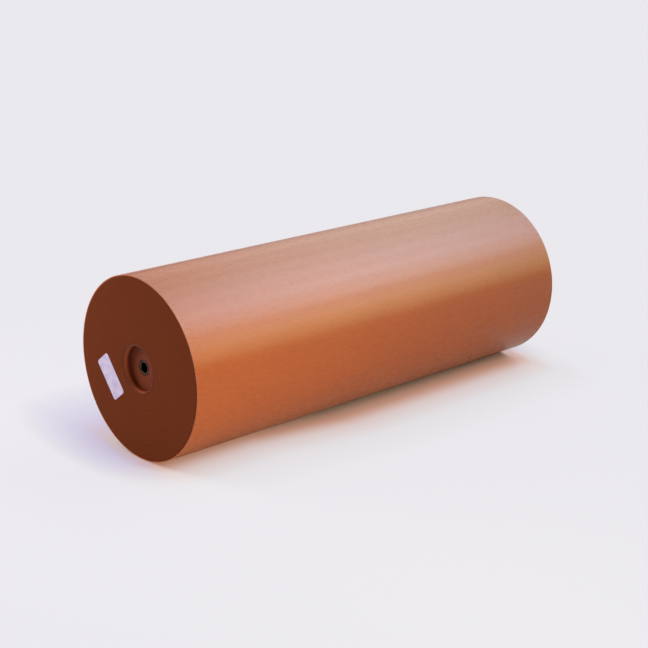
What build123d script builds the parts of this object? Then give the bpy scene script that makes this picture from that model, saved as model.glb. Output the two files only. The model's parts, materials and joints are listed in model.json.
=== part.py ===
from build123d import *
from math import radians, sin, cos
import os

# Rainstick: a short, fat rain maker. Two caps close a paper-wrapped board tube. Rows of
# wire pins reach in from its wall, and loose grains run through them when it is tipped.
# The stick lies on the ground along X, with its axis one barrel radius above it. The
# origin is on the ground below its middle. The end with the label faces -X.
# All sizes are in millimetres.

# ---- barrel ------------------------------------------------------------------------
barrel_radius = 45.0  # outside of the paper wrap
barrel_length = 252.0
wrap_thickness = 0.55
glue_gap = 0.05  # between two round faces that are glued or pressed together
bore_radius = 38.1  # a stock tube with a three inch bore
seam_gap = 0.3  # between the wrap's two long edges
seam_angle = -35.0  # where that seam runs, in degrees from +Y towards +Z

# ---- end caps ----------------------------------------------------------------------
flange_thickness = 6.0
spigot_length = 10.0
stop_lip = 1.5  # ring at the cap's inner end that stops the bung
stop_lip_radius = 10.2
edge_break = 0.3

# ---- filler neck, bung and eyelet --------------------------------------------------
neck_radius = 11.25  # inside of the card neck
neck_wall = 1.0
bung_clearance = 0.06
bung_depth = 3.6  # from the cap's face to the face of the bung
bung_break = 0.5
eyelet_bore_radius = 2.4
eyelet_wall = 0.35
eyelet_length = 8.0
eyelet_flange_radius = 3.8
eyelet_flange_height = 0.8
eyelet_roll = 0.6  # radius of the rolled edge
eyelet_sink = 0.7  # the flange is let into the bung's face

# ---- blank label, which lies flush in a shallow seat in the cap's face -------------
label_length = 21.4
label_width = 10.2
label_thickness = 0.15
label_corner = 1.4
label_across = -22.4  # its middle, from the axis, to the right as the end is faced
label_up = -9.2
label_turn = -52.2  # degrees from level

# ---- pins --------------------------------------------------------------------------
lane_count = 12  # rows of pins round the tube, with an open lane between two rows
lane_angle = 360 / lane_count
pins_in_row = 11
pin_pitch = 18.0  # between two pins of one row
helix_step = pin_pitch / 6  # each row starts this far beyond the row before it
shank_radius = 0.9
shank_length = 35.0  # head included
tip_length = 2.5
tip_radius = 0.2
head_radius = 1.7
head_thickness = 0.6
head_sink = 0.1  # the heads lie a little below the tube's face, under the wrap

# ---- grains ------------------------------------------------------------------------
grain_radius = 2.7
grain_ranks = 24  # along the tube, in one stream
rank_pitch = 5.7
# Each layer of a stream: its distance from the axis, how far it lies ahead of its rank,
# and the sideways places of its grains. The streams lie in the three lowest lanes.
top_ahead = 3.7
floor_layer = [(35.0, 0.0, (-5.0, 5.0)), (35.0, rank_pitch / 2, (0.0,))]
second_layer = [(30.3, 1.7, (-2.75, 2.75))]
third_layer = [(25.6, top_ahead, (0.0,))]

# ---- worked out from these ---------------------------------------------------------
half_length = barrel_length / 2
tube_radius = barrel_radius - wrap_thickness - glue_gap
tube_length = barrel_length - 2 * flange_thickness
cap_depth = flange_thickness + spigot_length
neck_length = cap_depth - stop_lip
neck_outer_radius = neck_radius + neck_wall
bung_radius = neck_radius - bung_clearance
eyelet_seat = bung_depth + eyelet_sink
first_pin = -((pins_in_row - 1) * pin_pitch + (lane_count - 1) * helix_step) / 2

LABEL_END = -1
PLAIN_END = 1


def across(x):
    """The plane square to the axis at x, with its origin on the axis: +Y, then +Z."""
    return Plane(origin=(x, 0, barrel_radius), x_dir=(0, 1, 0), z_dir=(1, 0, 0))


def end_plane(side, depth=0.0):
    """The plane at a depth inside one end face, facing out, with local y upwards."""
    x = side * (half_length - depth)
    return Plane(origin=(x, 0, barrel_radius), x_dir=(0, side, 0), z_dir=(side, 0, 0))


def outward(x, angle, distance):
    """A place at a distance from the axis whose z points away from the axis.

    The angle is counted round +X, from straight down."""
    turn = radians(angle)
    radial = Vector(0, sin(turn), -cos(turn))
    return Plane(
        origin=Vector(x, 0, barrel_radius) + radial * distance,
        x_dir=(1, 0, 0),
        z_dir=radial,
    ).location


def row_angle(row):
    """The middle of the stick's lowest lane is half a lane from its nearest rows."""
    return (row + 0.5) * lane_angle


def pin_seats(row):
    """Where the pin heads of one row lie, for two helices that start opposite."""
    start = first_pin + row * helix_step
    return [
        outward(start + pin * pin_pitch, row_angle(row), tube_radius - head_sink)
        for pin in range(pins_in_row)
    ]


def outer_rings(builder, side):
    """The round edges at the piece's end on that side, smallest first."""
    rings = builder.edges().filter_by(GeomType.CIRCLE)
    return rings.group_by(Axis.X)[-1 if side > 0 else 0].sort_by(SortBy.RADIUS)


def save(builder, name):
    builder.part.label = name
    export_step(builder.part, f"parts/{name}.step")


# ---- board tube: the body of the stick, drilled for the pins -----------------------
def make_board_tube():
    with BuildPart() as tube:
        with BuildSketch(across(-tube_length / 2)):
            Circle(tube_radius)
            Circle(bore_radius, mode=Mode.SUBTRACT)
        extrude(amount=tube_length)
        for row in range(lane_count):
            with Locations(*pin_seats(row)):
                CounterBoreHole(
                    radius=shank_radius + glue_gap,
                    counter_bore_radius=head_radius + glue_gap,
                    counter_bore_depth=head_thickness,
                    depth=tube_radius - bore_radius + 1,
                )
                Cylinder(
                    head_radius + glue_gap,
                    2 * head_sink,
                    align=(Align.CENTER, Align.CENTER, Align.MIN),
                    mode=Mode.SUBTRACT,
                )
    save(tube, "board_tube")


# ---- kraft wrap: one sheet round the tube and the rims of both caps ------------------
def make_kraft_wrap():
    with BuildPart() as wrap:
        with BuildSketch(across(-half_length)):
            Circle(barrel_radius)
            Circle(barrel_radius - wrap_thickness, mode=Mode.SUBTRACT)
            with PolarLocations(barrel_radius, 1, start_angle=seam_angle):
                Rectangle(4 * wrap_thickness, seam_gap, mode=Mode.SUBTRACT)
        extrude(amount=barrel_length)
    save(wrap, "kraft_wrap")


# ---- end caps: a flange on the tube's end and a spigot in its bore ------------------
def make_cap(side, name):
    with BuildPart() as cap:
        with BuildSketch(end_plane(side)):
            Circle(tube_radius)
        extrude(amount=-flange_thickness)
        with BuildSketch(end_plane(side, flange_thickness)):
            Circle(bore_radius - glue_gap)
        extrude(amount=-spigot_length)
        with Locations(end_plane(side).location):
            CounterBoreHole(
                radius=stop_lip_radius,
                counter_bore_radius=neck_outer_radius + glue_gap,
                counter_bore_depth=neck_length,
                depth=cap_depth,
            )
        chamfer(outer_rings(cap, side)[-1], edge_break)
        if side == LABEL_END:
            with BuildSketch(end_plane(side)):
                label_outline(glue_gap)
            extrude(amount=-label_thickness, mode=Mode.SUBTRACT)
    save(cap, name)


# ---- card necks: they line the caps' filler holes -----------------------------------
def make_neck(side, name):
    with BuildPart() as neck:
        with BuildSketch(end_plane(side)):
            Circle(neck_outer_radius)
            Circle(neck_radius, mode=Mode.SUBTRACT)
        extrude(amount=-neck_length)
    save(neck, name)


# ---- bungs: turned plugs, sunk below the caps' faces --------------------------------
def make_bung(side, name):
    with BuildPart() as bung:
        with BuildSketch(end_plane(side, bung_depth)):
            Circle(bung_radius)
        extrude(amount=bung_depth - neck_length)
        chamfer(outer_rings(bung, side)[-1], bung_break)
        chamfer(outer_rings(bung, -side)[-1], edge_break)
        with Locations(end_plane(side, bung_depth).location):
            CounterBoreHole(
                radius=eyelet_bore_radius + eyelet_wall + glue_gap,
                counter_bore_radius=eyelet_flange_radius + glue_gap,
                counter_bore_depth=eyelet_sink,
                depth=eyelet_sink + eyelet_length + 0.5,
            )
    save(bung, name)


# ---- eyelets: rolled steel linings of the holes by which the bungs are pulled -------
def make_eyelet(side, name):
    face = end_plane(side, eyelet_seat)
    lengthwise = Plane(origin=face.origin, x_dir=(side, 0, 0), z_dir=(0, -side, 0))
    barrel_outer = eyelet_bore_radius + eyelet_wall
    with BuildPart() as eyelet:
        with BuildSketch(lengthwise) as section:
            with BuildLine():
                Polyline(
                    (-eyelet_length, eyelet_bore_radius),
                    (eyelet_flange_height, eyelet_bore_radius),
                    (eyelet_flange_height, eyelet_flange_radius),
                    (0, eyelet_flange_radius),
                    (0, barrel_outer),
                    (-eyelet_length, barrel_outer),
                    close=True,
                )
            make_face()
            lip = section.vertices().group_by(Axis.X)[-1]
            fillet(lip, eyelet_roll)
        revolve(axis=Axis(face.origin, (1, 0, 0)))
    save(eyelet, name)


# ---- blank label: a paper sticker ---------------------------------------------------
def label_outline(margin=0.0):
    """The blank label's outline, for a sketch on the label end's face."""
    with Locations(Location((label_across, label_up), label_turn)):
        RectangleRounded(
            label_length + 2 * margin, label_width + 2 * margin, label_corner + margin
        )


def make_label():
    with BuildPart() as label:
        with BuildSketch(end_plane(LABEL_END)):
            label_outline()
        extrude(amount=-label_thickness)
    save(label, "blank_label")


# ---- wire pins: one row along the tube ----------------------------------------------
def make_pin_row(row):
    downwards = (Align.CENTER, Align.CENTER, Align.MAX)
    with BuildPart() as pins:
        with Locations(*pin_seats(row)):
            Cylinder(head_radius, head_thickness, align=downwards)
            Cylinder(shank_radius, shank_length - tip_length, align=downwards)
            with Locations((0, 0, tip_length - shank_length)):
                Cone(tip_radius, shank_radius, tip_length, align=downwards)
    save(pins, f"pin_row_{row + 1:02d}")


# ---- grains: one stream lies in a lane between two rows of pins ---------------------
def make_grains(lane, layers, name):
    first_rank = -((grain_ranks - 1) * rank_pitch + top_ahead) / 2
    places = []
    for rank in range(grain_ranks):
        for distance, ahead, sideways in layers:
            x = first_rank + rank * rank_pitch + ahead
            for offset in sideways:
                places.append(outward(x, lane * lane_angle, distance) * Pos(0, offset))
    with BuildPart() as grains:
        with Locations(*places):
            Sphere(grain_radius)
    save(grains, name)


os.makedirs("parts", exist_ok=True)
make_board_tube()
make_kraft_wrap()
for side, end in ((LABEL_END, "label_end"), (PLAIN_END, "plain_end")):
    make_cap(side, f"{end}_cap")
    make_neck(side, f"{end}_neck")
    make_bung(side, f"{end}_bung")
    make_eyelet(side, f"{end}_eyelet")
make_label()
for row in range(lane_count):
    make_pin_row(row)
make_grains(0, floor_layer + second_layer + third_layer, "grains_centre")
make_grains(-1, floor_layer + second_layer, "grains_front")
make_grains(1, floor_layer + second_layer, "grains_back")
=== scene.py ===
# %% [markdown]
# # Finishing a rainstick
#
# A rainstick is a closed tube with pins through its wall and loose grains inside. When it is
# tipped the grains run down through the pins and sound like rain. This one is short and fat:
# a board tube wrapped in kraft paper, two turned wooden caps, and in each cap a card neck
# closed by a small wooden bung. A steel eyelet lines the hole by which the bung is pulled.
#
# The CAD model is loaded first and stays as it is. Everything made here goes where that model
# says, in metres: the stick lies along X, on the ground, and the end with the label faces -X.

# %% Load the frame
import json
import math

import bmesh
import bpy
from mathutils import Matrix, Vector


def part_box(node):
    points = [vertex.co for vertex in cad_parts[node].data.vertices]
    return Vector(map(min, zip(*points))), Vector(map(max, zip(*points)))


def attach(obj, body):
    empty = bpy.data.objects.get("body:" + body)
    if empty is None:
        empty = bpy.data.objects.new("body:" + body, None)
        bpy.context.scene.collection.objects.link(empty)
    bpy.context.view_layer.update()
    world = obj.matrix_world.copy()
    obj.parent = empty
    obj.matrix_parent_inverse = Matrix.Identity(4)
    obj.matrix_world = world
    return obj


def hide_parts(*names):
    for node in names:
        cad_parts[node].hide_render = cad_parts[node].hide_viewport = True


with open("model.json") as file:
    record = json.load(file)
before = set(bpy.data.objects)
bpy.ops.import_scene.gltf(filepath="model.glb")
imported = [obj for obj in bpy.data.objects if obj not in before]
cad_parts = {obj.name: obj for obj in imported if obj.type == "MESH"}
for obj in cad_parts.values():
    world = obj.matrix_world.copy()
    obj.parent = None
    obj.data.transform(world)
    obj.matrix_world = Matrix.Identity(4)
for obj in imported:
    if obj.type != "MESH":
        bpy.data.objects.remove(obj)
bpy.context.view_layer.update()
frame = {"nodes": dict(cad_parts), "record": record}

# %% [markdown]
# ## Sizes, all read from the model
#
# The record names the barrel's radius and length. Most other sizes are measured on the CAD
# nodes: where a piece starts and ends along the stick, and how near to and far from the
# stick's axis its points lie. A piece that is made from these fits its neighbours. The few
# that can't be measured so, such as the label's length and turn, are written as the model
# has them, where they are first needed.

# %% Measure the nodes
mounts = {mount["name"]: mount for mount in frame["record"]["mounts"]}
barrel_radius = mounts["barrel"]["dims"]["r_mm"] / 1000
barrel_length = mounts["barrel"]["dims"]["length_mm"] / 1000
axis_height = mounts["barrel"]["pos_m"][2]
mm = 0.001


def reach(node):
    """The nearest and farthest distance of a node's points from the stick's axis."""
    points = [v.co for v in frame["nodes"][node].data.vertices]
    distances = [math.hypot(p.y, p.z - axis_height) for p in points]
    return min(distances), max(distances)


tube_bore, tube_radius = reach("board_tube")
neck_bore, neck_radius = reach("label_end_neck")
lip_radius = reach("label_end_cap")[0]
bung_radius = reach("label_end_bung")[1]
eyelet_bore, eyelet_rim = reach("label_end_eyelet")
half_length = barrel_length / 2
flange = half_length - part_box("board_tube")[1].x
cap_depth = half_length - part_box("plain_end_cap")[0].x
neck_length = half_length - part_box("plain_end_neck")[0].x
bung_depth = half_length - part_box("plain_end_bung")[1].x
bung_end = half_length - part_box("plain_end_bung")[0].x
eyelet_top = half_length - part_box("plain_end_eyelet")[1].x
eyelet_end = half_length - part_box("plain_end_eyelet")[0].x
ends = {"label_end": -1, "plain_end": 1}
fit = 0.05 * mm  # between two round faces that are glued or pressed together
print(f"barrel {barrel_radius / mm:.1f} x {barrel_length / mm:.0f} mm, bore {tube_bore / mm:.2f}")
print(f"bung face {bung_depth / mm:.2f} mm deep, radius {bung_radius / mm:.2f} mm")

# %% [markdown]
# ## The place: camera, floor and light
#
# The stick lies on a pale table and is seen from its label end, a little from above. A long
# strip of soft light arches over the plain end. It glances along the paper and leaves a broad
# pale sheen on its upper side, cooler at the top and warmer low down. The strip is a row of
# lamps, so that how bright the sheen is at each height round the roll is one number in a
# table. A very wide lamp behind the label end and a soft one close to it fill that face, and
# a warm one close by lifts the near end of the paper. Those two throw a cone of light, so
# that the table beside them isn't burnt out, and they leave no glint of their own.
#
# A weak cool sky fills the rest. To the eye and in polished metal the sky and the far part
# of the table are a plain pale tone, whatever the lamps do. Close to the stick the table
# shows its own light, so the shadow and the warm glow from the paper stay. A little further
# out the glow itself is tinted: a painted warm glow in front of the stick and a painted cool
# shade behind it and past its ends.

# %% Camera
eye = Vector((-11.0247, -11.6283, 5.8397)) * barrel_radius
aim = Vector((-0.0988, 0.0566, 0.9132)) * barrel_radius
camera_data = bpy.data.cameras.new("camera")
camera_data.sensor_width = 36.0
camera_data.lens = 79.79
camera = bpy.data.objects.new("camera", camera_data)
camera.location = eye
camera.rotation_euler = (aim - eye).to_track_quat("-Z", "Y").to_euler()
bpy.context.scene.collection.objects.link(camera)
bpy.context.scene.camera = camera
bpy.context.scene.view_settings.view_transform = "Standard"
print("camera", round((aim - eye).length, 3), "m from what it looks at")

# %% [markdown]
# ## Two small helpers for node trees
#
# Materials and shape trees are both made of nodes. A wire is one value inside such a tree,
# and sums on wires add the Math nodes that do them, so a finish reads like arithmetic. Every
# other node comes from one method, which sets the node's own settings first and then the
# values or wires of its sockets.


# %% Wires and trees
class Wire:
    """One value inside a node tree."""

    def __init__(self, tree, socket):
        self.tree = tree
        self.socket = socket

    def maths(self, operation, first, second):
        return self.tree.node("ShaderNodeMath", {"operation": operation}, {0: first, 1: second})

    def __add__(self, other):
        return self.maths("ADD", self, other)

    def __sub__(self, other):
        return self.maths("SUBTRACT", self, other)

    def __rsub__(self, other):
        return self.maths("SUBTRACT", other, self)

    def __mul__(self, other):
        return self.maths("MULTIPLY", self, other)

    def __truediv__(self, other):
        return self.maths("DIVIDE", self, other)

    __radd__ = __add__
    __rmul__ = __mul__


class Tree:
    """Adds nodes to one node tree, a call for each."""

    def __init__(self, nodes):
        self.nodes = nodes.nodes
        self.links = nodes.links

    def node(self, kind, settings=None, sockets=None, out=0):
        made = self.nodes.new(kind)
        for name, value in (settings or {}).items():
            if name == "stops":
                self.set_stops(made.color_ramp, value)
            else:
                setattr(made, name, value)
        for name, value in (sockets or {}).items():
            if isinstance(value, Wire):
                self.links.new(value.socket, made.inputs[name])
            else:
                made.inputs[name].default_value = value
        return Wire(self, made.outputs[out])

    def set_stops(self, ramp, stops):
        while len(ramp.elements) < len(stops):
            ramp.elements.new(1.0)
        for element, (position, level) in zip(ramp.elements, stops):
            element.position = position
            element.color = (level, level, level, 1.0)


# %% Finishes
def paint(red, green, blue):
    """A colour as it looks on a screen, from 0 to 255, as the plain light values it stands for."""
    values = [c / 255 for c in (red, green, blue)]
    linear = [c / 12.92 if c <= 0.04045 else ((c + 0.055) / 1.055) ** 2.4 for c in values]
    return (*linear, 1.0)


class Finish(Tree):
    """A material for one kind of surface, in the stick's own measures."""

    def __init__(self, name, specular=0.5, metallic=0.0):
        self.material = bpy.data.materials.new(name)
        self.material.use_nodes = True
        super().__init__(self.material.node_tree)
        self.nodes.clear()
        self.shader = self.nodes.new("ShaderNodeBsdfPrincipled")
        self.shader.inputs["Specular IOR Level"].default_value = specular
        self.shader.inputs["Metallic"].default_value = metallic
        self.output = self.nodes.new("ShaderNodeOutputMaterial")
        self.links.new(self.shader.outputs[0], self.output.inputs["Surface"])
        place = self.node("ShaderNodeTexCoord", {}, {}, "Object")
        centring = {"Vector": place, "Location": (0, 0, -axis_height)}
        self.place = self.node("ShaderNodeMapping", {}, centring)

    def parts(self):
        """Distance along the stick, then across it and up, all from the middle of its axis."""
        split = self.node("ShaderNodeSeparateXYZ", {}, {0: self.place})
        outputs = split.socket.node.outputs
        return [Wire(self, outputs[i]) for i in range(3)]

    def from_axis(self):
        """How far a point lies from the stick's axis."""
        flat = {0: self.place, 1: (0, 1, 1)}
        square = self.node("ShaderNodeVectorMath", {"operation": "MULTIPLY"}, flat)
        return self.node("ShaderNodeVectorMath", {"operation": "LENGTH"}, {0: square}, "Value")

    def sized(self, value):
        return self.node("ShaderNodeMath", {"operation": "ABSOLUTE"}, {0: value})

    def power(self, value, exponent):
        return self.node("ShaderNodeMath", {"operation": "POWER"}, {0: value, 1: exponent})

    def limit(self, value, low, high):
        return self.node("ShaderNodeClamp", {}, {"Value": value, "Min": low, "Max": high})

    def stretched(self, scale):
        return self.node("ShaderNodeMapping", {}, {"Vector": self.place, "Scale": scale})

    def noise(self, size, detail=2.0, place=None, roughness=0.5):
        """Soft cloudy variation from 0 to 1, in patches of about that size in metres."""
        sockets = {
            "Vector": place or self.place,
            "Scale": 1 / size,
            "Detail": detail,
            "Roughness": roughness,
        }
        return self.node("ShaderNodeTexNoise", {}, sockets)

    def ramp(self, value, *stops):
        return self.node("ShaderNodeValToRGB", {"stops": stops}, {0: value})

    def mix(self, mask, low, high):
        return self.node("ShaderNodeMix", {"data_type": "RGBA"}, {0: mask, 6: low, 7: high}, 2)

    def finish(self, colour, roughness, height=None, depth=0.0):
        """Feeds the shader. Depth is the relief's real height in metres."""
        for name, value in (("Base Color", colour), ("Roughness", roughness)):
            if isinstance(value, Wire):
                self.links.new(value.socket, self.shader.inputs[name])
            else:
                self.shader.inputs[name].default_value = value
        if height is not None:
            relief = self.node("ShaderNodeBump", {}, {"Height": height, "Distance": depth})
            self.links.new(relief.socket, self.shader.inputs["Normal"])
        return self.material


# %% Floor
floor_mesh = bpy.data.meshes.new("floor")
half_floor = 7.0
floor_mesh.from_pydata(
    [(x * half_floor, y * half_floor, 0.0) for x, y in ((-1, -1), (1, -1), (1, 1), (-1, 1))],
    [],
    [(0, 1, 2, 3)],
)
floor = bpy.data.objects.new("floor", floor_mesh)
bpy.context.scene.collection.objects.link(floor)


def make_table_top():
    """Pale paint that glows towards the eye, except close to the stick, where its light shows.

    The shade next to the stick is partly its real shadow and partly painted in the glow's tint:
    warm in front, cool behind it and past its ends."""
    table = Finish("table_top", specular=0.1)
    clouds = table.noise(0.4)
    pale = table.mix(clouds, (0.74, 0.72, 0.73, 1.0), (0.76, 0.74, 0.75, 1.0))
    table.finish(pale, 0.8)
    along, across, _ = table.parts()

    # How far a spot lies from the middle of the shade, in steps of 100 mm. The shade, partly real
    # and partly painted in the glow's tint, is narrower near the label end and reaches further
    # behind the stick than in front of it.
    past_end = table.limit(table.sized(along) - (half_length - 4 * mm), 0.0, 1.0) * 2
    beyond = table.ramp(past_end / (30 * mm), (0.0, 0), (0.9, 1))
    aside = across - 16 * mm
    aside = aside - table.limit(aside, 0.0, 1.0) * 0.3
    near_end = table.ramp(along * (-1 / half_length), (0.15, 0), (0.6, 1)) * (1 - beyond) * 0.12
    reached = table.power(past_end * past_end + aside * aside, 0.5) / (100 * mm)
    distance = reached + near_end + beyond * 0.17

    # How much of the glow is seen at that distance, by the eye and in reflections.
    cool = table.limit(beyond + across / (60 * mm), 0.0, 1.0)
    near_stops = ((0.28, 0), (0.40, 0.42), (0.48, 0.62))
    far_stops = ((0.58, 0.72), (0.76, 0.80), (1.0, 0.92))
    clear = table.ramp(distance + cool * 0.20, *near_stops, *far_stops)
    far = table.ramp(distance / 5, (0.5, 0), (1.0, 0.8))

    # The glow's colour: a painted shade tint close by, warm in front and cool behind, and plain
    # further off.
    warm_plain = table.ramp(distance, (0.41, 0), (0.53, 0.7), (0.71, 1))
    cool_plain = table.ramp(distance, (0.12, 0), (0.42, 0.45), (0.80, 1))
    plain = warm_plain * (1 - cool) + cool_plain * cool
    # Painted light: close by, the glow is tinted with a painted warm glow from the paper in front
    # of the stick and a painted cool shade behind it and past its ends.
    painted_warm_glow = (0.75, 0.34, 0.23, 1.0)
    painted_cool_shade = (0.48, 0.395, 0.73, 1.0)
    painted_shade_tint = table.mix(cool, painted_warm_glow, painted_cool_shade)
    tint = table.mix(plain, painted_shade_tint, (0.845, 0.83, 0.87, 1.0))
    glow = table.node("ShaderNodeEmission", {}, {"Color": tint})
    to_eye = table.node("ShaderNodeLightPath", {}, {}, "Is Camera Ray")
    to_gloss = table.node("ShaderNodeLightPath", {}, {}, "Is Glossy Ray")
    seen = to_eye * clear + to_gloss * far
    lit = Wire(table, table.shader.outputs[0])
    mixed = table.node("ShaderNodeMixShader", {}, {0: seen, 1: lit, 2: glow})
    table.links.new(mixed.socket, table.output.inputs["Surface"])
    return table.material


floor_mesh.materials.append(make_table_top())


# %% Lamps and sky
def lamp(name, direction, strength, colour, width):
    """A wide soft light, as far away as the sky, so it lights the floor evenly."""
    light = bpy.data.lights.new(name, "SUN")
    light.energy = strength * math.pi
    light.color = colour
    light.angle = math.radians(width)
    made = bpy.data.objects.new(name, light)
    made.rotation_euler = Vector(direction).to_track_quat("Z", "Y").to_euler()
    bpy.context.scene.collection.objects.link(made)


lamp_width = 22  # degrees of sky that each lamp of the strip covers
strip_forward, strip_round = 0.66, 0.75
strip = (
    (-70, (0.036, 0.034, 0.030)),
    (-50, (0.044, 0.048, 0.044)),
    (-30, (0.070, 0.079, 0.073)),
    (-10, (0.114, 0.130, 0.130)),
    (10, (0.158, 0.178, 0.188)),
    (30, (0.196, 0.210, 0.210)),
    (50, (0.160, 0.140, 0.110)),
    (70, (0.146, 0.128, 0.071)),
)
for degrees, light in strip:
    lean = math.radians(degrees)
    direction = (strip_forward, -strip_round * math.sin(lean), strip_round * math.cos(lean))
    strength = max(light)
    colour = [c / strength for c in light]
    lamp(f"strip_{degrees - strip[0][0]}", direction, strength, colour, lamp_width)
lamp("behind", (-0.5, 0.7, 0.5), 0.34, (1.0, 0.98, 0.95), 75)

near_lamp_size = 0.16
near_lamp_cone = math.radians(90)


def near_lamp(name, place, target, watts, colour):
    """A soft lamp close by, in a cone, whose light falls off along the stick."""
    light = bpy.data.lights.new(name, "AREA")
    light.shape = "DISK"
    light.size = near_lamp_size
    light.spread = near_lamp_cone
    light.energy = watts
    light.color = colour
    made = bpy.data.objects.new(name, light)
    made.location = place
    made.rotation_euler = (Vector(target) - Vector(place)).to_track_quat("-Z", "Y").to_euler()
    made.visible_camera = False
    made.visible_glossy = False
    bpy.context.scene.collection.objects.link(made)


near_lamp("front", (-0.14, -0.38, 0.10), (-0.10, 0.0, 0.045), 0.16, (1.0, 0.92, 0.58))
near_lamp("left", (-0.30, 0.28, 0.20), (-0.126, 0.0, 0.045), 0.26, (1.0, 0.99, 0.98))

world = bpy.data.worlds.new("sky")
world.use_nodes = True
air = Tree(world.node_tree)
air.nodes.clear()
dim = air.node("ShaderNodeBackground", {}, {"Color": (0.80, 0.86, 1.0, 1.0), "Strength": 0.13})
pale = air.node("ShaderNodeBackground", {}, {"Color": (0.84, 0.83, 0.865, 1.0), "Strength": 1.0})
to_eye = air.node("ShaderNodeLightPath", {}, {}, "Is Camera Ray")
to_gloss = air.node("ShaderNodeLightPath", {}, {}, "Is Glossy Ray")
shown = to_eye + to_gloss * 0.08
sky = air.node("ShaderNodeMixShader", {}, {0: shown, 1: dim, 2: pale})
sky_output = air.nodes.new("ShaderNodeOutputWorld")
air.links.new(sky.socket, sky_output.inputs["Surface"])
bpy.context.scene.world = world

# %% [markdown]
# ## Kraft paper
#
# The wrap is smooth brown kraft, calendered so that it has a soft shine. Close up it shows
# long pale fibres that lie along the roll, dark flecks and slow clouds where the pulp was
# thicker. All of them are faint: from arm's length the paper looks plain. The patterns read
# the stick's own coordinates, stretched along X, because the fibres run that way.


# %% Paper for the wrap
def make_kraft_paper():
    paper = Finish("calendered_kraft", specular=0.5)
    clouds = paper.noise(24 * mm, 3.0)
    fibres = paper.noise(0.35 * mm, 3.0, paper.stretched((0.08, 1, 1)), 0.6)
    specks = paper.noise(1.1 * mm, 2.0, paper.stretched((0.35, 1, 1)))
    flecks = paper.ramp(specks, (0.66, 0), (0.74, 1))
    ground = paper.mix(clouds, (0.385, 0.078, 0.009, 1), (0.425, 0.088, 0.013, 1))
    pale_fibres = paper.ramp(fibres, (0.45, 0), (0.8, 1)) * 0.25
    fibred = paper.mix(pale_fibres, ground, (0.50, 0.13, 0.030, 1))
    colour = paper.mix(flecks * 0.25, fibred, (0.20, 0.040, 0.010, 1))
    roughness = fibres * 0.08 + 0.24
    return paper.finish(colour, roughness, fibres, 0.012 * mm)


kraft_paper = make_kraft_paper()

# %% [markdown]
# ## The paper wrap
#
# One sheet of paper goes once round the tube and the rims of both caps, and its long edges
# meet in a narrow butt seam low at the back. Its shape follows a rule, a flat sheet bent to a
# radius, so Geometry Nodes make it: a grid as large as the cut sheet, rolled round the axis.
# A little slackness lets it lie a few hundredths of a millimetre in, as glued paper does, and
# the knife's wander leaves the two round edges not quite true. Solidify gives it its
# thickness, towards the tube.


# %% Tree that rolls a sheet
class Shape(Tree):
    """A Geometry Nodes tree with named inputs."""

    def __init__(self, name, inputs):
        self.group = bpy.data.node_groups.new(name, "GeometryNodeTree")
        super().__init__(self.group)
        interface = self.group.interface
        interface.new_socket("Geometry", in_out="INPUT", socket_type="NodeSocketGeometry")
        interface.new_socket("Geometry", in_out="OUTPUT", socket_type="NodeSocketGeometry")
        self.keys = {}
        for label, kind in inputs.items():
            socket = interface.new_socket(label, in_out="INPUT", socket_type=f"NodeSocket{kind}")
            self.keys[label] = socket.identifier
        self.source = self.nodes.new("NodeGroupInput")

    def input(self, label):
        return Wire(self, self.source.outputs[label])

    def end(self, geometry):
        """Realizes what the tree made, gives it its material and hands it out."""
        real = self.node("GeometryNodeRealizeInstances", {}, {"Geometry": geometry})
        smooth = self.node("GeometryNodeSetShadeSmooth", {}, {"Geometry": real})
        dressed = {"Geometry": smooth, "Material": self.input("Material")}
        last = self.node("GeometryNodeSetMaterial", {}, dressed)
        output = self.nodes.new("NodeGroupOutput")
        self.links.new(last.socket, output.inputs["Geometry"])


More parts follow.
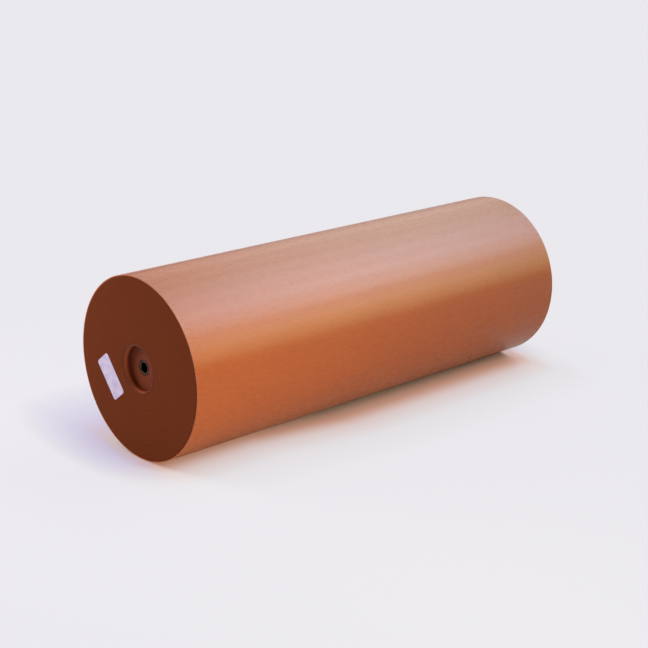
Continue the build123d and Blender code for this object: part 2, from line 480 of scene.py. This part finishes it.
def make_sheet_tree():
    sizes = {
        "Length": "Float",
        "Radius": "Float",
        "Seam Angle": "Float",
        "Seam Gap": "Float",
        "Slackness": "Float",
        "Knife Wander": "Float",
        "Cuts Along": "Int",
        "Cuts Round": "Int",
        "Seed": "Float",
        "Material": "Material",
    }
    tree = Shape("rolled_sheet", sizes)
    length, radius = tree.input("Length"), tree.input("Radius")
    girth = radius * (2 * math.pi) - tree.input("Seam Gap")
    sheet = {
        "Size X": length,
        "Size Y": girth,
        "Vertices X": tree.input("Cuts Along"),
        "Vertices Y": tree.input("Cuts Round"),
    }
    grid = tree.node("GeometryNodeMeshGrid", {}, sheet, "Mesh")
    flat = tree.node("GeometryNodeInputPosition")
    split = tree.node("ShaderNodeSeparateXYZ", {}, {0: flat}).socket.node.outputs
    along, round_ = Wire(tree, split[0]), Wire(tree, split[1])
    angle = tree.input("Seam Angle") + math.pi - round_ / radius
    seeded = {"noise_dimensions": "4D"}
    waves, nicks = 28.0, 60.0  # to the metre
    slow = {"Vector": flat, "W": tree.input("Seed"), "Scale": waves, "Detail": 1.0}
    slack = tree.node("ShaderNodeTexNoise", seeded, slow) * tree.input("Slackness")
    wander = {"Vector": flat, "W": tree.input("Seed") + 7.0, "Scale": nicks, "Detail": 2.0}
    inset = tree.node("ShaderNodeTexNoise", seeded, wander) * tree.input("Knife Wander")
    reached = tree.node("ShaderNodeMath", {"operation": "ABSOLUTE"}, {0: along})
    at_end = {0: reached, 1: length * 0.5, 2: 0.5 * mm}
    edge = tree.node("ShaderNodeMath", {"operation": "COMPARE"}, at_end)
    side = tree.node("ShaderNodeMath", {"operation": "SIGN"}, {0: along})
    true_along = along - side * edge * inset
    distance = radius - slack
    across = distance * tree.node("ShaderNodeMath", {"operation": "COSINE"}, {0: angle})
    up = distance * tree.node("ShaderNodeMath", {"operation": "SINE"}, {0: angle}) + axis_height
    rolled = tree.node("ShaderNodeCombineXYZ", {}, {0: true_along, 1: across, 2: up})
    tree.end(tree.node("GeometryNodeSetPosition", {}, {"Geometry": grid, "Position": rolled}))
    return tree


sheet_tree = make_sheet_tree()
print("sheet tree:", len(sheet_tree.group.nodes), "nodes")


# %% Make the wrap
def grow(name, tree, values, start=None, thickness=0.0):
    """Runs a tree on a piece and keeps the result as its plain mesh."""
    piece = bpy.data.objects.new(name, start or bpy.data.meshes.new(name))
    bpy.context.scene.collection.objects.link(piece)
    growing = piece.modifiers.new("shape", "NODES")
    growing.node_group = tree.group
    for label, value in values.items():
        growing[tree.keys[label]] = value
    if thickness:
        wall = piece.modifiers.new("wall", "SOLIDIFY")
        wall.thickness = thickness
        wall.offset = -1.0
    depsgraph = bpy.context.evaluated_depsgraph_get()
    piece.data = bpy.data.meshes.new_from_object(piece.evaluated_get(depsgraph))
    piece.data.name = name
    piece.modifiers.clear()
    print(name, len(piece.data.polygons), "faces")
    return piece


paper_thickness = barrel_radius - tube_radius - fit
wrap_values = {
    "Length": barrel_length,
    "Radius": barrel_radius - 0.02 * mm,
    "Seam Angle": math.radians(-35),
    "Seam Gap": 0.3 * mm,
    "Slackness": 0.03 * mm,
    "Knife Wander": 0.12 * mm,
    "Cuts Along": 64,
    "Cuts Round": 289,
    "Seed": 3.0,
    "Material": kraft_paper,
}
paper_wrap = grow("paper_wrap", sheet_tree, wrap_values, thickness=paper_thickness - 0.04 * mm)
paper_wrap.data.set_sharp_from_angle(angle=math.radians(40))
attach(paper_wrap, "stick")
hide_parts("kraft_wrap")

# %% [markdown]
# ## Stained wood
#
# The caps and bungs are turned from wood and stained a deep red brown. Turning cuts rings:
# they show as slightly darker and lighter circles round the axis, a tool's width apart, and
# the stain sinks deeper into the soft parts of the grain. The finish is nearly matt.


# %% Wood for the caps and bungs
def make_stained_wood(name, dark, light, specular=0.25):
    wood = Finish(name, specular=specular)
    radius = wood.from_axis()
    wander = wood.noise(9 * mm, 2.0) * (0.5 * mm)
    ring_sockets = {"W": radius + wander, "Scale": 1 / (1.4 * mm), "Detail": 3.0, "Roughness": 0.6}
    rings = wood.node("ShaderNodeTexNoise", {"noise_dimensions": "1D"}, ring_sockets)
    clouds = wood.noise(14 * mm, 3.0)
    pores = wood.ramp(wood.noise(0.5 * mm, 2.0), (0.62, 0), (0.72, 1))
    ground = wood.mix(rings * 0.6 + clouds * 0.4, dark, light)
    colour = wood.mix(pores * 0.35, ground, tuple(c * 0.5 for c in dark[:3]) + (1.0,))
    return wood.finish(colour, clouds * 0.15 + 0.5, rings * 0.6 - pores * 0.4, 0.03 * mm)


cap_wood = make_stained_wood("cap_wood", (0.118, 0.0240, 0.007, 1), (0.168, 0.036, 0.012, 1), 0.02)
bung_wood = make_stained_wood("plug_wood", (0.140, 0.026, 0.009, 1), (0.20, 0.042, 0.014, 1), 0.1)

# %% [markdown]
# ## Turned pieces
#
# A cap, a neck, a bung and an eyelet are all round the stick's axis. Each is made the way a
# lathe makes it: half of its section, drawn as a line of depths and radii, is carried round
# the axis. Corners are drawn with a small radius, because no turned edge stays knife sharp.


# %% Lathe
def soften(corners, steps=4):
    """A section from (depth, radius, rounding) corners, with arcs at the rounded ones."""
    section = []
    count = len(corners)
    for index, (depth, radius, rounding) in enumerate(corners):
        here = Vector((depth, radius))
        if rounding <= 0:
            section.append(tuple(here))
            continue
        before = (Vector(corners[index - 1][:2]) - here).normalized()
        after = (Vector(corners[(index + 1) % count][:2]) - here).normalized()
        half_angle = before.angle(after) / 2
        tangent = rounding / math.tan(half_angle)
        centre = here + (before + after).normalized() * (rounding / math.sin(half_angle))
        start = here + before * tangent - centre
        finish = here + after * tangent - centre
        sweep = start.angle_signed(finish)
        for step in range(steps + 1):
            turned = start.copy()
            turned.rotate(Matrix.Rotation(-sweep * step / steps, 2))
            section.append(tuple(centre + turned))
    return section


def turn(name, side, section, material, facets=240):
    """Carries a closed section round the axis. Depths count inwards from the end face."""
    shape = bmesh.new()
    rings = []
    for depth, radius in section:
        x = side * (half_length - depth)
        if radius < 1e-7:
            rings.append([shape.verts.new((x, 0, axis_height))] * facets)
            continue
        ring = []
        for facet in range(facets):
            angle = 2 * math.pi * facet / facets
            y, z = radius * math.cos(angle), radius * math.sin(angle)
            ring.append(shape.verts.new((x, y, axis_height + z)))
        rings.append(ring)
    for first, second in zip(rings, rings[1:] + rings[:1]):
        for facet in range(facets):
            after = (facet + 1) % facets
            corners = [first[facet], first[after], second[after], second[facet]]
            corners = list(dict.fromkeys(corners))
            if len(corners) > 2:
                shape.faces.new(corners)
    bmesh.ops.recalc_face_normals(shape, faces=shape.faces[:])
    mesh = bpy.data.meshes.new(name)
    shape.to_mesh(mesh)
    shape.free()
    mesh.shade_smooth()
    mesh.set_sharp_from_angle(angle=math.radians(35))
    mesh.materials.append(material)
    piece = bpy.data.objects.new(name, mesh)
    bpy.context.scene.collection.objects.link(piece)
    print(name, len(mesh.polygons), "faces")
    return piece


def tool_rings(start, finish, depth, step, relief):
    """Points across a flat face that a turning tool has left very slightly ringed."""
    count = max(2, round(abs(finish - start) / (step / 4)))
    points = []
    for index in range(1, count):
        radius = start + (finish - start) * index / count
        wave = 0.5 - 0.5 * math.cos(2 * math.pi * radius / step)
        slow = 0.5 + 0.5 * math.sin(radius / (2.1 * step) + 1.0)
        points.append((depth + relief * wave * slow, radius))
    return points


# %% Label's place
label_low, label_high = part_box("blank_label")
label_middle = (label_low + label_high) / 2
label_thickness = label_high.x - label_low.x
label_length = 21.4 * mm
label_width = 10.2 * mm
label_corner = 1.4 * mm
label_turn = math.radians(-52.2)


def label_outline(margin):
    """The outline of the label, grown by a margin, as points (y, z) round its middle."""
    half_long = label_length / 2 + margin
    half_wide = label_width / 2 + margin
    corner = label_corner + margin
    outline = []
    for quarter, (a, b) in enumerate(((1, 1), (-1, 1), (-1, -1), (1, -1))):
        for step in range(7):
            angle = math.pi / 2 * (quarter + step / 6)
            across = a * (half_long - corner) + corner * math.cos(angle)
            up = b * (half_wide - corner) + corner * math.sin(angle)
            turned_across = across * math.cos(label_turn) - up * math.sin(label_turn)
            turned_up = across * math.sin(label_turn) + up * math.cos(label_turn)
            outline.append((label_middle.y - turned_across, label_middle.z + turned_up))
    return outline


def slab(name, outline, levels):
    """A closed flat solid: the outline at several places along X, each grown by a margin."""
    shape = bmesh.new()
    rings = []
    for x, margin in levels:
        rings.append([shape.verts.new((x, y, z)) for y, z in outline(margin)])
    count = len(rings[0])
    shape.faces.new(rings[0])
    shape.faces.new(rings[-1])
    for first, second in zip(rings, rings[1:]):
        for index in range(count):
            after = (index + 1) % count
            shape.faces.new((first[index], first[after], second[after], second[index]))
    bmesh.ops.recalc_face_normals(shape, faces=shape.faces[:])
    mesh = bpy.data.meshes.new(name)
    shape.to_mesh(mesh)
    shape.free()
    piece = bpy.data.objects.new(name, mesh)
    bpy.context.scene.collection.objects.link(piece)
    return piece


# %% Turn the caps
hole_radius = neck_radius + fit
spigot_radius = tube_bore - fit


def make_cap(end, side):
    face = [(0.0, hole_radius, 0.15 * mm), (0.0, tube_radius, 0.5 * mm)]
    back = [
        (flange, tube_radius, 0.3 * mm),
        (flange, spigot_radius, 0),
        (cap_depth, spigot_radius, 0.5 * mm),
        (cap_depth, lip_radius, 0.2 * mm),
        (neck_length, lip_radius, 0.2 * mm),
        (neck_length, hole_radius, 0),
    ]
    section = soften(face + back)
    rings = tool_rings(hole_radius + 0.4 * mm, tube_radius - 0.8 * mm, 0.0, 0.9 * mm, 0.03 * mm)
    mouth_points = 5
    section = section[:mouth_points] + rings + section[mouth_points:]
    return turn(f"{end}_turned_cap", side, section, cap_wood)


caps = {end: make_cap(end, side) for end, side in ends.items()}
face_x = label_low.x
seat_levels = [(face_x - 1 * mm, fit), (face_x + label_thickness, fit)]
seat_cutter = slab("seat_cutter", label_outline, seat_levels)
cut = caps["label_end"].modifiers.new("seat", "BOOLEAN")
cut.object = seat_cutter
cut.solver = "EXACT"
depsgraph = bpy.context.evaluated_depsgraph_get()
cut_mesh = bpy.data.meshes.new_from_object(caps["label_end"].evaluated_get(depsgraph))
caps["label_end"].modifiers.clear()
caps["label_end"].data = cut_mesh
bpy.data.objects.remove(seat_cutter)
for end, cap in caps.items():
    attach(cap, "stick")
    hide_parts(f"{end}_cap")

# %% [markdown]
# ## Label
#
# A small blank paper label lies in a shallow seat in the face of one cap. It is thin paper
# with a cool pale coat, a little mottled where the glue shows through.


# %% Label paper and label
def make_label_paper():
    paper = Finish("coated_paper", specular=0.4)
    mottle = paper.noise(3.5 * mm, 2.0)
    tooth = paper.noise(0.25 * mm, 2.0)
    patches = paper.ramp(mottle, (0.3, 0), (0.7, 1))
    ground = paper.mix(patches, paint(192, 177, 211), paint(214, 199, 226))
    colour = paper.mix(tooth * 0.15, ground, paint(180, 172, 200))
    return paper.finish(colour, tooth * 0.1 + 0.5, tooth, 0.01 * mm)


label_levels = [
    (face_x, -0.06 * mm),
    (face_x + 0.04 * mm, 0.0),
    (face_x + label_thickness, 0.0),
]
label = slab("paper_label", label_outline, label_levels)
label.data.materials.append(make_label_paper())
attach(label, "stick")
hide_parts("blank_label")

# %% [markdown]
# ## Necks, bungs and eyelets
#
# Each cap's hole is lined with a short card tube. The bung is a turned plug that fits it with
# a few hundredths of a millimetre to spare, and its face lies sunk a little below the cap's. A
# rolled steel eyelet lines the hole in its middle. The eyelet's wall is one thin strip that
# curls over at the top, so its section is drawn as a middle line with a wall round it.


# %% Card for the necks
def make_neck_card():
    card = Finish("rim_card", specular=0.3)
    along = card.parts()[0]
    depth = half_length - card.sized(along)
    fibres = card.noise(0.4 * mm, 3.0)
    clouds = card.noise(6 * mm, 2.0)
    ground = card.mix(clouds, (0.34, 0.075, 0.026, 1), (0.42, 0.095, 0.034, 1))
    pale = card.mix(card.ramp(fibres, (0.4, 0), (0.75, 1)) * 0.3, ground, (0.46, 0.12, 0.045, 1))
    # Painted shade: deeper than about 2 to 3 mm into the hole, the card's wall is painted dark as
    # the hole's own shade.
    painted_recess_shade = card.ramp((depth + fibres * (0.4 * mm)) / (8 * mm), (0.24, 0), (0.36, 1))
    wall = card.mix(painted_recess_shade, pale, (0.17, 0.030, 0.014, 1))
    mouth = card.ramp(depth / (4 * mm), (0.03, 1), (0.10, 0))
    colour = card.mix(mouth, wall, (0.125, 0.025, 0.008, 1))
    return card.finish(colour, 0.7, fibres, 0.03 * mm)


neck_card = make_neck_card()


# %% Steel for the eyelets and pins
def make_steel(name, tint):
    steel = Finish(name, metallic=1.0)
    scratches = steel.noise(0.12 * mm, 2.0, steel.stretched((1, 0.15, 0.15)))
    smears = steel.noise(2.5 * mm, 2.0)
    colour = steel.mix(smears, tint, tuple(c * 0.75 for c in tint[:3]) + (1.0,))
    return steel.finish(colour, smears * 0.2 + scratches * 0.12 + 0.2, scratches, 0.004 * mm)


eyelet_steel = make_steel("rolled_steel", (0.085, 0.055, 0.045, 1))
pin_steel = make_steel("drawn_steel", (0.56, 0.57, 0.58, 1))


# %% Neck, bung and eyelet of one end
def make_neck(end, side):
    section = soften(
        [
            (0.0, neck_bore, 0.3 * mm),
            (0.0, neck_radius, 0.3 * mm),
            (neck_length, neck_radius, 0.2 * mm),
            (neck_length, neck_bore, 0.2 * mm),
        ]
    )
    return turn(f"{end}_card_neck", side, section, neck_card, 120)


def make_bung(end, side):
    hole = eyelet_bore + 0.40 * mm
    bottom = eyelet_end + 0.5 * mm
    seat = eyelet_rim + 0.05 * mm
    seat_depth = eyelet_top + 0.8 * mm
    inside = [
        (bottom, 0.0, 0),
        (bottom, hole, 0),
        (seat_depth, hole, 0),
        (seat_depth, seat, 0),
        (bung_depth, seat, 0.1 * mm),
    ]
    outside = [
        (bung_depth, bung_radius, 0.5 * mm),
        (bung_end, bung_radius, 0.3 * mm),
        (bung_end, 0.0, 0),
    ]
    inside_points = 9
    section = soften(inside + outside)
    rings = tool_rings(seat + 0.3 * mm, bung_radius - 0.8 * mm, bung_depth, 0.8 * mm, 0.03 * mm)
    section = section[:inside_points] + rings + section[inside_points:]
    return turn(f"{end}_turned_bung", side, section, bung_wood, 120)


def make_eyelet(end, side):
    wall = 0.35 * mm
    middle = eyelet_bore + wall / 2
    roll = (eyelet_rim - wall / 2 - middle) / 2
    roll_depth = eyelet_top + wall / 2 + roll
    line = [(eyelet_end, middle), (roll_depth + 2 * mm, middle)]
    for step in range(15):
        angle = math.radians(-90 + 15 * step)
        line.append((roll_depth - roll * math.cos(angle), middle + roll + roll * math.sin(angle)))
    left, right = [], []
    for index, (depth, radius) in enumerate(line):
        ahead = Vector(line[min(index + 1, len(line) - 1)])
        behind = Vector(line[max(index - 1, 0)])
        direction = (ahead - behind).normalized()
        left.append((depth - direction.y * wall / 2, radius + direction.x * wall / 2))
        right.append((depth + direction.y * wall / 2, radius - direction.x * wall / 2))
    return turn(f"{end}_rolled_eyelet", side, left + right[::-1], eyelet_steel, 96)


makers = (
    (make_neck, "neck", "neck_card"),
    (make_bung, "bung", "bung_wood"),
    (make_eyelet, "eyelet", "eyelet_steel"),
)
for end, side in ends.items():
    for maker, node, finish_slot in makers:
        piece = maker(end, side)
        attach(piece, "stick" if node == "neck" else f"{end}_plug")
        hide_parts(f"{end}_{node}")

# %% [markdown]
# ## Pebbles
#
# The grains are small river pebbles. No two are alike, and there are hundreds of them, so
# Geometry Nodes make them: one rounded blank with few faces is set down at every grain of the
# CAD model, turned and squeezed at random, and then dented by a noise. Each stream of grains
# moves by itself, so each is one piece.


# %% Stone finish
def make_stone():
    stone = Finish("river_stone", specular=0.4)
    tone = stone.node("ShaderNodeAttribute", {"attribute_name": "tone"}, {}, "Fac")
    speckle = stone.noise(0.7 * mm, 3.0)
    ground = stone.mix(tone, (0.20, 0.15, 0.11, 1), (0.55, 0.48, 0.39, 1))
    dark = stone.mix(tone, (0.10, 0.08, 0.06, 1), (0.36, 0.27, 0.19, 1))
    colour = stone.mix(stone.ramp(speckle, (0.4, 0), (0.7, 1)), ground, dark)
    return stone.finish(colour, speckle * 0.3 + 0.45, speckle, 0.05 * mm)


stone = make_stone()


# %% Tree that scatters pebbles
def make_pebble_tree():
    sizes = {
        "Pebble Radius": "Float",
        "Dent": "Float",
        "Seed": "Int",
        "Material": "Material",
    }
    tree = Shape("pebbles", sizes)
    seed = tree.input("Seed")
    cuts = {"Size": (1, 1, 1), "Vertices X": 4, "Vertices Y": 4, "Vertices Z": 4}
    cube = tree.node("GeometryNodeMeshCube", {}, cuts, "Mesh")
    corner = tree.node("GeometryNodeInputPosition")
    round_ = tree.node("ShaderNodeVectorMath", {"operation": "NORMALIZE"}, {0: corner})
    blank = tree.node("GeometryNodeSetPosition", {}, {"Geometry": cube, "Position": round_})
    vector = {"data_type": "FLOAT_VECTOR"}
    whole_turn = 6.283
    turn_range = {0: (0, 0, 0), 1: (whole_turn,) * 3, "Seed": seed}
    turns = tree.node("FunctionNodeRandomValue", vector, turn_range)
    flattest = 0.78
    squeeze_range = {0: (flattest,) * 3, 1: (1, 1, 1), "Seed": seed + 1}
    squeeze = tree.node("FunctionNodeRandomValue", vector, squeeze_range)
    sizing = {0: squeeze, "Scale": tree.input("Pebble Radius")}
    scale = tree.node("ShaderNodeVectorMath", {"operation": "SCALE"}, sizing)
    setting = {
        "Points": tree.input("Geometry"),
        "Instance": blank,
        "Rotation": turns,
        "Scale": scale,
    }
    placed = tree.node("GeometryNodeInstanceOnPoints", {}, setting)
    tone = tree.node("FunctionNodeRandomValue", {"data_type": "FLOAT"}, {"Seed": seed + 2}, 1)
    naming = {"Geometry": placed, "Name": "tone", "Value": tone}
    toned = tree.node("GeometryNodeStoreNamedAttribute", {"domain": "INSTANCE"}, naming)
    real = tree.node("GeometryNodeRealizeInstances", {}, {"Geometry": toned})
    dents_per_metre = 420.0
    denting = {"Vector": corner, "Scale": dents_per_metre, "Detail": 1.0}
    dents = tree.node("ShaderNodeTexNoise", {}, denting)
    inward = {0: tree.node("GeometryNodeInputNormal"), "Scale": dents * tree.input("Dent") * -1}
    offset = tree.node("ShaderNodeVectorMath", {"operation": "SCALE"}, inward)
    tree.end(tree.node("GeometryNodeSetPosition", {}, {"Geometry": real, "Offset": offset}))
    return tree


pebble_tree = make_pebble_tree()
print("pebble tree:", len(pebble_tree.group.nodes), "nodes")


# %% Pour the pebbles
def grain_centres(node):
    """The middle of every separate ball in a CAD node of grains."""
    mesh = frame["nodes"][node].data.copy()
    shape = bmesh.new()
    shape.from_mesh(mesh)
    bmesh.ops.remove_doubles(shape, verts=shape.verts[:], dist=1e-6)
    left = set(shape.verts)
    centres = []
    while left:
        stack = [left.pop()]
        ball = []
        while stack:
            vertex = stack.pop()
            ball.append(vertex.co.copy())
            for edge in vertex.link_edges:
                other = edge.other_vert(vertex)
                if other in left:
                    left.remove(other)
                    stack.append(other)
        low = [min(p[i] for p in ball) for i in range(3)]
        high = [max(p[i] for p in ball) for i in range(3)]
        centres.append([(a + b) / 2 for a, b in zip(low, high)])
    shape.free()
    bpy.data.meshes.remove(mesh)
    return sorted(centres)


for number, stream in enumerate(("centre", "front", "back")):
    centres = grain_centres(f"grains_{stream}")
    start = bpy.data.meshes.new(f"grain_places_{stream}")
    start.from_pydata(centres, [], [])
    values = {
        "Pebble Radius": 2.65 * mm,
        "Dent": 0.5 * mm,
        "Seed": 10 * number + 5,
        "Material": stone,
    }
    pebbles = grow(f"pebbles_{stream}", pebble_tree, values, start)
    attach(pebbles, f"{stream}_stream")
    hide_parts(f"grains_{stream}")
    print(stream, len(centres), "pebbles")

# %% [markdown]
# ## Tube board and pins
#
# The tube and the rows of pins keep their CAD shapes, which are right as they are. The board
# is wound from strips of grey-brown card, so its seams climb round it in a steep spiral. The
# pins are plain steel wire.


# %% Finish the CAD nodes that stay
def make_board():
    board = Finish("wound_board", specular=0.2)
    along, across, up = board.parts()
    angle = board.node("ShaderNodeMath", {"operation": "ARCTAN2"}, {0: across, 1: up})
    strip_width = 95 * mm
    climb = along / strip_width + angle / (2 * math.pi)
    place = board.node("ShaderNodeMath", {"operation": "FRACT"}, {0: climb})
    seam = board.ramp(place, (0.0, 1), (0.015, 0))
    fibres = board.noise(0.5 * mm, 3.0)
    clouds = board.noise(12 * mm, 2.0)
    ground = board.mix(clouds, (0.40, 0.27, 0.16, 1), (0.54, 0.38, 0.23, 1))
    colour = board.mix(fibres * 0.4 + seam * 0.6, ground, (0.26, 0.16, 0.09, 1))
    return board.finish(colour, 0.8, fibres - seam, 0.06 * mm)


board = make_board()
for name, node in frame["nodes"].items():
    if name == "board_tube" or name.startswith("pin_row"):
        for place in node.material_slots:
            place.material = board if name == "board_tube" else pin_steel
print("finished nodes:", [n for n, o in frame["nodes"].items() if not o.hide_render])
